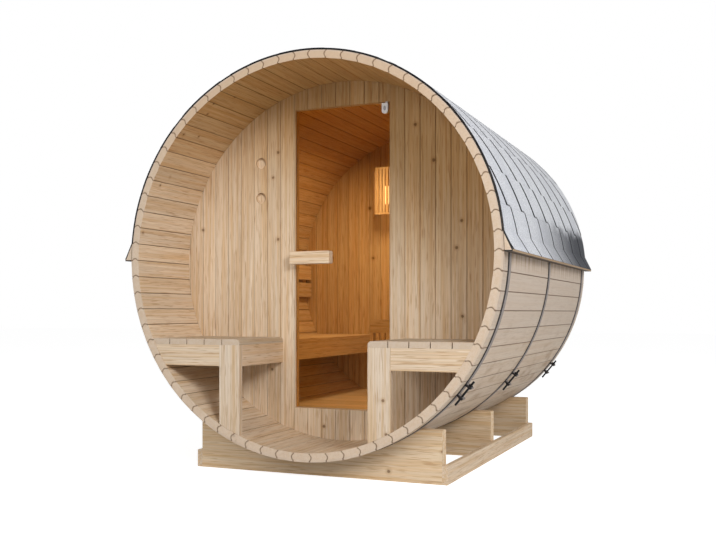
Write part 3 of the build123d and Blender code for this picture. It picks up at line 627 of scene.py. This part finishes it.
dress(makeStaves(), *[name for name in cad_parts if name.startswith("staves_")])
dress(makeSpruce("wallBoardsLeft", "z", "x", wallBoard["width"], -wallBoard["firstJoint"], 1, isWall=True),
      "front_wall_left", "front_wall_top", "front_wall_bottom", "rear_wall")
dress(makeSpruce("wallBoardsRight", "z", "x", wallBoard["width"], wallBoard["firstJoint"], 2, isWall=True),
      "front_wall_right")
for word, sign, seed in (("left", -1, 3), ("right", 1, 4)):
    slats = f"porch_seat_{word}_slats"
    dress(makeSpruce(f"{word}SeatSlats", "y", "x", seatSlat["pitch"], sign * seatSlat["edge"], seed,
                     tints["seatSlats"], sawnAt=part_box(slats)[0].y), slats)
dress(makeSeatAprons(seatEdges[0]), "porch_seat_left_frame", "porch_seat_right_frame")
dress(makeSpruce("seatLegs", "z", seed=6, tint=tints["seatLegs"]),
      "porch_seat_left_leg", "porch_seat_right_leg")
dress(makeSpruce("saddlePlanks", "x", "y", saddle["pitch"], saddle["start"], 7, tints["saddles"]),
      "saddle_front", "saddle_middle", "saddle_rear")
dress(makeSpruce("cradleRails", "y", seed=8), "cradle_rails")
for word in ("left", "right"):
    dress(makeEaveWood(word), f"eave_board_{word}")
dress(makeVentPlugs(), "vent_plugs")
dress(makeSpruce("doorHandles", "x", seed=11, tint=tints["handles"]),
      "door_handle_outer", "door_handle_inner")
dress(makeSpruce("benchSlats", "y", "x", benchSlat["pitch"], benchSlat["edge"], 12),
      "bench_slats", "bench_frame")
dress(makeSpruce("backrestSlats", "y", "z", backrest["pitch"], backrest["low"], 13), "backrest_slats")
dress(makeSpruce("uprightPosts", "z", seed=14), "backrest_battens", "heater_guard_slats", "lamp_shade")
dress(makeSpruce("guardRails", "x", seed=15), "heater_guard_frame")
dress(makeSpruce("floorSlats", "x", "y", floorSlat["pitch"], floorSlat["edge"], 16, tints["floor"]),
      "floor_slats")
dress(makeSpruce("floorJoists", "y", seed=17), "floor_joists")
print("spruce done")


# Metal, glass and the lamp

metal = {
    "strap": (0.31, 0.270, 0.245),
    "strapRubbed": (0.20, 0.165, 0.145),
    "strapFrontDark": (0.020, 0.017, 0.016),
    "frontDarkWidth": 0.020,
    "frontDarkSoftEdge": 0.0008,
    "strapNoise": (40, 40, 40),
    "cloudNoise": (55, 55, 55),
    "cloudRange": (0.3, 0.7),
    "mottle": 0.15,         # how much darker the darkest spots are
    "black": (0.018, 0.017, 0.018),
    "hinge": (0.72, 0.70, 0.68),
    "hingeCover": (0.34, 0.33, 0.33),
}


def makeMetal(name, colour, roughness, metallic):
    material, tree, shader = newMaterial(name)
    cloud = noiseAt(tree, objectPlace(tree)[0], metal["cloudNoise"], 3.0)
    dark = tuple(part * (1 - metal["mottle"]) for part in colour)
    pale = smoothRange(tree, cloud, *metal["cloudRange"])
    setOrLink(tree, shader.inputs["Base Color"], mixColour(tree, pale, dark, colour))
    setOrLink(tree, shader.inputs["Roughness"],
              smoothRange(tree, cloud, *metal["cloudRange"], roughness + 0.1, roughness))
    shader.inputs["Metallic"].default_value = metallic
    return material


def makeStrap(word):
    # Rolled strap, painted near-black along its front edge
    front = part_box(f"band_{word}")[0].y
    material, tree, shader = newMaterial(f"strap_{word}")
    place, (_, y, _) = objectPlace(tree)
    cloud = noiseAt(tree, place, metal["strapNoise"], 3.0)
    rubbed = smoothRange(tree, cloud, *metal["cloudRange"], 0.0, 0.5)
    steel = mixColour(tree, rubbed, metal["strap"], metal["strapRubbed"])
    edge = front + metal["frontDarkWidth"]
    frontDark = smoothRange(tree, y, edge - metal["frontDarkSoftEdge"], edge + metal["frontDarkSoftEdge"], 1.0, 0.0)
    setOrLink(tree, shader.inputs["Base Color"], mixColour(tree, frontDark, steel, metal["strapFrontDark"]))
    shader.inputs["Metallic"].default_value = 0.0
    shader.inputs["Specular IOR Level"].default_value = 0.15
    shader.inputs["Roughness"].default_value = 0.7
    return material


blackSteel = makeMetal("blackSteel", metal["black"], 0.40, 0.7)
hingeMetal = makeMetal("hingeMetal", metal["hinge"], 0.34, 0.15)
coverMetal = makeMetal("coverMetal", metal["hingeCover"], 0.40, 0.5)
for word in ("front", "middle", "rear"):
    dress(makeStrap(word), f"band_{word}")
    dress(blackSteel, f"tensioner_{word}")
dress(hingeMetal, "door_hinges", "door_pivots")

glass = {"tint": (0.96, 0.71, 0.38), "ior": 1.10}
opal = {"colour": (0.90, 0.86, 0.78), "glow": (1.0, 0.84, 0.60), "strength": 1.8}


def makeBronzeGlass():
    material, _, shader = newMaterial("bronzeGlass")
    shader.inputs["Base Color"].default_value = (*glass["tint"], 1)
    shader.inputs["Roughness"].default_value = 0.0
    shader.inputs["Transmission Weight"].default_value = 1.0
    shader.inputs["IOR"].default_value = glass["ior"]
    return material


def makeLampOpal():
    material, _, shader = newMaterial("lampOpal")
    shader.inputs["Base Color"].default_value = (*opal["colour"], 1)
    shader.inputs["Emission Color"].default_value = (*opal["glow"], 1)
    shader.inputs["Emission Strength"].default_value = opal["strength"]
    return material


dress(makeBronzeGlass(), "door_glass")
dress(makeLampOpal(), "lamp_bulb")

# Oval covers on the hinges, over their screws
hingeCover = {"width": 0.013, "height": 0.024, "thickness": 0.0012, "sides": 24, "fromEnd": 0.026}


def makeHingeCovers():
    low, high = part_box("door_hinges")
    bm = bmesh.new()
    for z in (low.z + hingeCover["fromEnd"], high.z - hingeCover["fromEnd"]):
        made = bmesh.ops.create_circle(bm, cap_ends=True, segments=hingeCover["sides"], radius=0.5)["verts"]
        bmesh.ops.scale(bm, vec=(hingeCover["width"], hingeCover["height"], 1), verts=made)
        bmesh.ops.rotate(bm, matrix=Matrix.Rotation(math.radians(90), 3, "X"), verts=made)
        bmesh.ops.translate(bm, vec=((low.x + high.x) / 2, low.y, z), verts=made)
        face = made[0].link_faces[0]
        risen = bmesh.ops.extrude_face_region(bm, geom=[face])["geom"]
        verts = [item for item in risen if isinstance(item, bmesh.types.BMVert)]
        bmesh.ops.translate(bm, vec=(0, -hingeCover["thickness"], 0), verts=verts)
    finishPiece("hingeCovers", bm, [coverMetal], "door")


makeHingeCovers()
print("metal, glass and lamp done")


# Roof: slanted shingle tabs over black felt that also paints the shade in the slots, an eave course that
# flares out, and ridge caps

roof = {
    "front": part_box("roof_ridge")[0].y,
    "rear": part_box("roof_ridge")[1].y,
    "innerRadius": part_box("roof_ridge")[1].z - barrel["axisHeight"] - 0.0035,
    "courseAngles": (12.4, 22.5, 35.3, 48.05, 60.8, 73.55, 83.0),    # in degrees from level
    "bendAngle": math.degrees(barrel["staveTurn"]),
    "flareClearance": 0.0002,
    "tabPitch": 0.282,
    "slotWidth": 0.032,
    "eaveSlotShare": 0.6,   # the eave course's slots are narrower
    "slotLean": 0.105,      # how much further back a slot ends at the foot of its course
    "courseStep": 0.060,
    "firstSlot": 0.157,     # from the front, at the top of the second course
    "feltHeight": 0.0005,
    "flareFeltHeight": 0.0012,
    "buttHeight": 0.0024,
    "topHeight": 0.0016,
    "tabThickness": 0.0011,
    "ridgeCaps": 9,
    "ridgeGap": 0.003,
    "frontEdge": 0.010,
}
# Painted reflection: the rear of the roof's foot is painted dark, with more roughness and less specular
# there. Its heights are above the barrel's axis.
shingle = {
    "dark": (0.42, 0.425, 0.445),
    "pale": (0.82, 0.825, 0.84),
    "grainNoise": (380, 380, 380),
    "grainRange": (0.40, 0.62),
    "cloud": (0.46, 0.47, 0.51),
    "cloudNoise": (5, 5, 5),
    "cloudRange": (0.40, 0.70),
    "cloudShare": 0.45,
    "paintedDarkReflection": (0.055, 0.057, 0.064),
    "reflectionNoise": (9, 9, 9),
    "reflectionUneven": 0.12,
    "reflectionAlong": (-0.65, 0.80),
    "reflectionHeight": (0.23, 0.32),
    "reflectionShare": 0.97,
    "hookLength": 0.050,    # the painted shadow line behind the foot of each slot
    "hookRise": 0.003,
    "hookHalfHeight": (0.003, 0.005),
    "hookShare": 0.85,
    "roughness": 0.50,
    "specular": 0.5,
    "bumpStrength": 0.45,
    "bumpDistance": 0.001,
}


def buttShade(tree, y, z):
    # Painted shadow: the short dark line behind the foot of each slot, where the lowest full course ends
    footSlot = tabStarts(0)[0] + roof["slotLean"]
    tabs = mathNode(tree, "DIVIDE", mathNode(tree, "SUBTRACT", y, footSlot), roof["tabPitch"])
    length = shingle["hookLength"] / roof["tabPitch"]
    behind = smoothRange(tree, mathNode(tree, "FRACT", tabs), length * 0.8, length, 1.0, 0.0)
    butt = ontoArc(1, roof["courseAngles"][0], roof["buttHeight"], 0).z + shingle["hookRise"]
    offLine = mathNode(tree, "ABSOLUTE", mathNode(tree, "SUBTRACT", z, butt))
    level = smoothRange(tree, offLine, *shingle["hookHalfHeight"], 1.0, 0.0)
    return mathNode(tree, "MULTIPLY", mathNode(tree, "MULTIPLY", behind, level), shingle["hookShare"])


def makeGranules():
    material, tree, shader = newMaterial("shingleGranules")
    place, (_, y, z) = objectPlace(tree)
    grains = smoothRange(tree, noiseAt(tree, place, shingle["grainNoise"]), *shingle["grainRange"])
    colour = mixColour(tree, grains, shingle["dark"], shingle["pale"])
    cloud = smoothRange(tree, noiseAt(tree, place, shingle["cloudNoise"], 3.0), *shingle["cloudRange"],
                        0.0, shingle["cloudShare"])
    colour = mixColour(tree, cloud, colour, shingle["cloud"])

    # Painted reflection, darker at the rear of the roof's foot
    uneven = mathNode(tree, "MULTIPLY_ADD", noiseAt(tree, place, shingle["reflectionNoise"], 3.0),
                      shingle["reflectionUneven"], z)
    heights = [barrel["axisHeight"] + height for height in shingle["reflectionHeight"]]
    paintedReflection = mathNode(tree, "MULTIPLY", smoothRange(tree, y, *shingle["reflectionAlong"]),
                    smoothRange(tree, uneven, *heights, 1.0, 0.0))
    paintedReflection = mathNode(tree, "MULTIPLY", paintedReflection, shingle["reflectionShare"])
    colour = mixColour(tree, paintedReflection, colour, shingle["paintedDarkReflection"])
    # Painted shadow behind the foot of each slot
    colour = mixColour(tree, buttShade(tree, y, z), colour, blackForFeltAndShade)
    edge = roof["front"] + roof["frontEdge"]
    colour = mixColour(tree, smoothRange(tree, y, edge, edge + 0.001, 1.0, 0.0), colour, blackForFeltAndShade)
    setOrLink(tree, shader.inputs["Base Color"], colour)
    setOrLink(tree, shader.inputs["Roughness"],
              mathNode(tree, "MULTIPLY_ADD", paintedReflection, 0.25, shingle["roughness"]))
    setOrLink(tree, shader.inputs["Specular IOR Level"],
              mathNode(tree, "MULTIPLY_ADD", paintedReflection, -0.45, shingle["specular"]))
    addBump(tree, shader, grains, shingle["bumpStrength"], shingle["bumpDistance"])
    return material


def ontoArc(side, angle, height, y):
    turn = math.radians(angle)
    radius = roof["innerRadius"] + height
    return Vector((side * radius * math.cos(turn), y, barrel["axisHeight"] + radius * math.sin(turn)))


def ontoFlare(side, share, height, y):
    # Share is 0 at the tip of the eave board and 1 where the roof meets the barrel
    low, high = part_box("eave_board_right")
    tip = Vector((side * high.x, y, low.z + eaveLook["fascia"]))
    root = ontoArc(side, roof["bendAngle"], 0, y)
    along = (root - tip).normalized()
    outward = Vector((side * abs(along.z), 0, abs(along.x)))
    return tip + (root - tip) * share + outward * (height + roof["flareClearance"])


def addTab(bm, place, starts, width, heights, thickness, rows=6):
    # Place gives a point for a share up the tab, a height over the staves and a distance along the roof
    made = bmesh.ops.create_grid(bm, x_segments=rows, y_segments=1, size=0.5)["verts"]
    faces = list({face for vert in made for face in vert.link_faces})
    under = bmesh.ops.extrude_face_region(bm, geom=faces)["geom"]
    under = {item for item in under if isinstance(item, bmesh.types.BMVert)}
    for vert in set(made) | under:
        up, across = vert.co.x + 0.5, vert.co.y + 0.5
        height = heights[0] + (heights[1] - heights[0]) * up - (thickness if vert in under else 0)
        vert.co = place(up, height, starts[0] + (starts[1] - starts[0]) * up + width * across)


def cutAtEnds(bm):
    for y, direction in ((roof["front"], -1), (roof["rear"], 1)):
        everything = bm.verts[:] + bm.edges[:] + bm.faces[:]
        cut = bmesh.ops.bisect_plane(bm, geom=everything, plane_co=(0, y, 0), plane_no=(0, direction, 0),
                                     clear_outer=True)
        edges = [item for item in cut["geom_cut"] if isinstance(item, bmesh.types.BMEdge)]
        bmesh.ops.holes_fill(bm, edges=edges, sides=0)


def blackenEdges(bm):
    for face in bm.faces:
        if abs(face.normal.y) > 0.5:
            face.material_index = 1


def roofArc(side, low, high):
    return lambda up, height, y: ontoArc(side, low + (high - low) * up, height, y)


def roofFlare(side):
    flareShare = 0.5

    def place(up, height, y):
        if up <= flareShare:
            return ontoFlare(side, up / flareShare, height, y)
        share = (up - flareShare) / (1 - flareShare)
        rise = roof["courseAngles"][0] - roof["bendAngle"]
        return ontoArc(side, roof["bendAngle"] + rise * share, height, y)

    return place


def tabStarts(course):
    high = roof["firstSlot"] - (course - 1) * (roof["slotLean"] + roof["courseStep"])
    first = roof["front"] + high % roof["tabPitch"]
    count = math.ceil((roof["rear"] - roof["front"]) / roof["tabPitch"])
    return [first + step * roof["tabPitch"] for step in range(-3, count + 3)]


def finishTabs(name, bm, replaced=()):
    cutAtEnds(bm)
    bmesh.ops.recalc_face_normals(bm, faces=bm.faces[:])
    blackenEdges(bm)
    finishPiece(name, bm, [granules, feltAndSlotShade], replaced=replaced)


def makeRoofSide(side, word):
    length = roof["rear"] - roof["front"]
    angles = roof["courseAngles"]
    whole = (roof["front"], roof["front"])
    thin = roof["feltHeight"]
    bm = bmesh.new()
    # Black felt under the tabs, which also paints the shade in the slots
    addTab(bm, roofArc(side, angles[0], 90), whole, length, (thin, thin), thin, rows=40)
    addTab(bm, roofFlare(side), whole, length, (roof["flareFeltHeight"],) * 2, thin, rows=12)
    finishPiece(f"roofFeltAndSlotShade_{word}", bm, [feltAndSlotShade])

    bm = bmesh.new()
    for course, (low, high) in enumerate(zip(angles, angles[1:])):
        for start in tabStarts(course):
            addTab(bm, roofArc(side, low, high), (start + roof["slotLean"], start),
                   roof["tabPitch"] - roof["slotWidth"], (roof["buttHeight"], roof["topHeight"]),
                   roof["tabThickness"])
    finishTabs(f"shingleCourses_{word}", bm, [f"roof_shingles_{word}"])

    bm = bmesh.new()
    for start in tabStarts(-1):
        addTab(bm, roofFlare(side), (start + roof["slotLean"], start),
               roof["tabPitch"] - roof["slotWidth"] * roof["eaveSlotShare"],
               (roof["topHeight"],) * 2, roof["tabThickness"], rows=12)
    finishTabs(f"eaveCourse_{word}", bm)


def makeRidge():
    bm = bmesh.new()
    pitch = (roof["rear"] - roof["front"]) / roof["ridgeCaps"]
    edge = roof["courseAngles"][-1]
    for count in range(roof["ridgeCaps"]):
        start = roof["front"] + count * pitch
        addTab(bm, roofArc(1, edge, 180 - edge), (start, start), pitch - roof["ridgeGap"],
               (roof["buttHeight"],) * 2, roof["tabThickness"], rows=8)
    finishPiece("ridgeCaps", bm, [granules], replaced=["roof_ridge"])


granules = makeGranules()
feltAndSlotShade = makeMetal("feltAndSlotShade", blackForFeltAndShade, 0.85, 0.0)
feltAndSlotShade.node_tree.nodes["Principled BSDF"].inputs["Specular IOR Level"].default_value = 0.05
for side, word in ((-1, "left"), (1, "right")):
    makeRoofSide(side, word)
makeRidge()
print("roof done")


# Camera: the photograph's place and lens, for a picture of 716 by 540

view = {
    "position": (1.8910, -3.7702, 0.7811),   # from the middle of the front ring, on the ground
    "turn": 23.067,
    "focalPixels": 910.51,
    "horizonPixel": 311.82,
    "imageWidth": 716,
    "imageHeight": 540,
    "sensorWidth": 36,
}


def placeCamera():
    data = bpy.data.cameras.new("camera")
    camera = bpy.data.objects.new("camera", data)
    bpy.context.scene.collection.objects.link(camera)
    x, y, z = view["position"]
    camera.location = (x, y + barrel["front"], z)
    camera.rotation_euler = (math.radians(90), 0, math.radians(view["turn"]))
    data.sensor_width = view["sensorWidth"]
    data.lens = view["focalPixels"] / view["imageWidth"] * data.sensor_width
    data.shift_y = (view["horizonPixel"] - view["imageHeight"] / 2) / view["imageWidth"]
    bpy.context.scene.camera = camera


placeCamera()

# Light: a broad lamp to the front right, weaker ones to the front left and the side, and a pale room

lights = {
    "key": {"place": (4.6, -5.0, 3.7), "size": 2.2, "power": 270, "colour": (0.96, 0.98, 1.04)},
    "front": {"place": (-0.8, -6.0, 2.6), "size": 2.5, "power": 85, "colour": (0.96, 0.98, 1.03)},
    "side": {"place": (5.0, 2.0, 3.8), "size": 3.0, "power": 60, "colour": (0.96, 0.98, 1.0)},
    "cabin": {"place": (-0.05, 0.25, 1.78), "size": 0.4, "power": 8.5, "colour": (1.0, 0.86, 0.66)},
    "target": (0.0, -0.6, 1.0),
    "cabinTarget": (-0.05, 0.25, 0.0),
    "world": 0.30,
}
studioFloor = {"halfSize": 30, "height": -0.0005, "base": 0.80, "glow": 0.75}


def addLamp(name, target):
    spec = lights[name]
    data = bpy.data.lights.new(name, "AREA")
    data.shape = "SQUARE"
    data.size = spec["size"]
    data.energy = spec["power"]
    data.color = spec["colour"]
    lamp = bpy.data.objects.new(name, data)
    lamp.location = spec["place"]
    lamp.rotation_euler = (Vector(target) - Vector(spec["place"])).to_track_quat("-Z", "Y").to_euler()
    bpy.context.scene.collection.objects.link(lamp)
    lamp.visible_camera = False
    lamp.visible_glossy = False
    lamp.visible_transmission = False


for name in ("key", "front", "side"):
    addLamp(name, lights["target"])
addLamp("cabin", lights["cabinTarget"])


def seenDirectly(tree):
    # 1 for rays from the camera, in a mirror or through glass
    path = tree.nodes.new("ShaderNodeLightPath")
    seen = mathNode(tree, "MAXIMUM", path.outputs["Is Camera Ray"], path.outputs["Is Glossy Ray"])
    return mathNode(tree, "MAXIMUM", seen, path.outputs["Is Transmission Ray"])


def makeWorld():
    world = bpy.data.worlds.new("studio")
    bpy.context.scene.world = world
    world.use_nodes = True
    tree = world.node_tree
    background = tree.nodes["Background"]
    background.inputs["Color"].default_value = (1, 1, 1, 1)
    strength = mathNode(tree, "MULTIPLY_ADD", seenDirectly(tree), 1 - lights["world"], lights["world"])
    setOrLink(tree, background.inputs["Strength"], strength)


def makeFloor():
    bm = bmesh.new()
    bmesh.ops.create_grid(bm, x_segments=1, y_segments=1, size=studioFloor["halfSize"])
    bmesh.ops.translate(bm, vec=(0, 0, studioFloor["height"]), verts=bm.verts[:])
    mesh = bpy.data.meshes.new("studioFloor")
    bm.to_mesh(mesh)
    bm.free()
    floor = bpy.data.objects.new("studioFloor", mesh)
    bpy.context.scene.collection.objects.link(floor)
    material, tree, shader = newMaterial("paperWhite")
    shader.inputs["Base Color"].default_value = (*[studioFloor["base"]] * 3, 1)
    shader.inputs["Roughness"].default_value = 1.0
    shader.inputs["Specular IOR Level"].default_value = 0.0
    shader.inputs["Emission Color"].default_value = (1, 1, 1, 1)
    glow = mathNode(tree, "MULTIPLY", seenDirectly(tree), studioFloor["glow"])
    setOrLink(tree, shader.inputs["Emission Strength"], glow)
    mesh.materials.append(material)


makeWorld()
makeFloor()
bpy.context.scene.view_settings.view_transform = "Standard"
print("camera and light done")
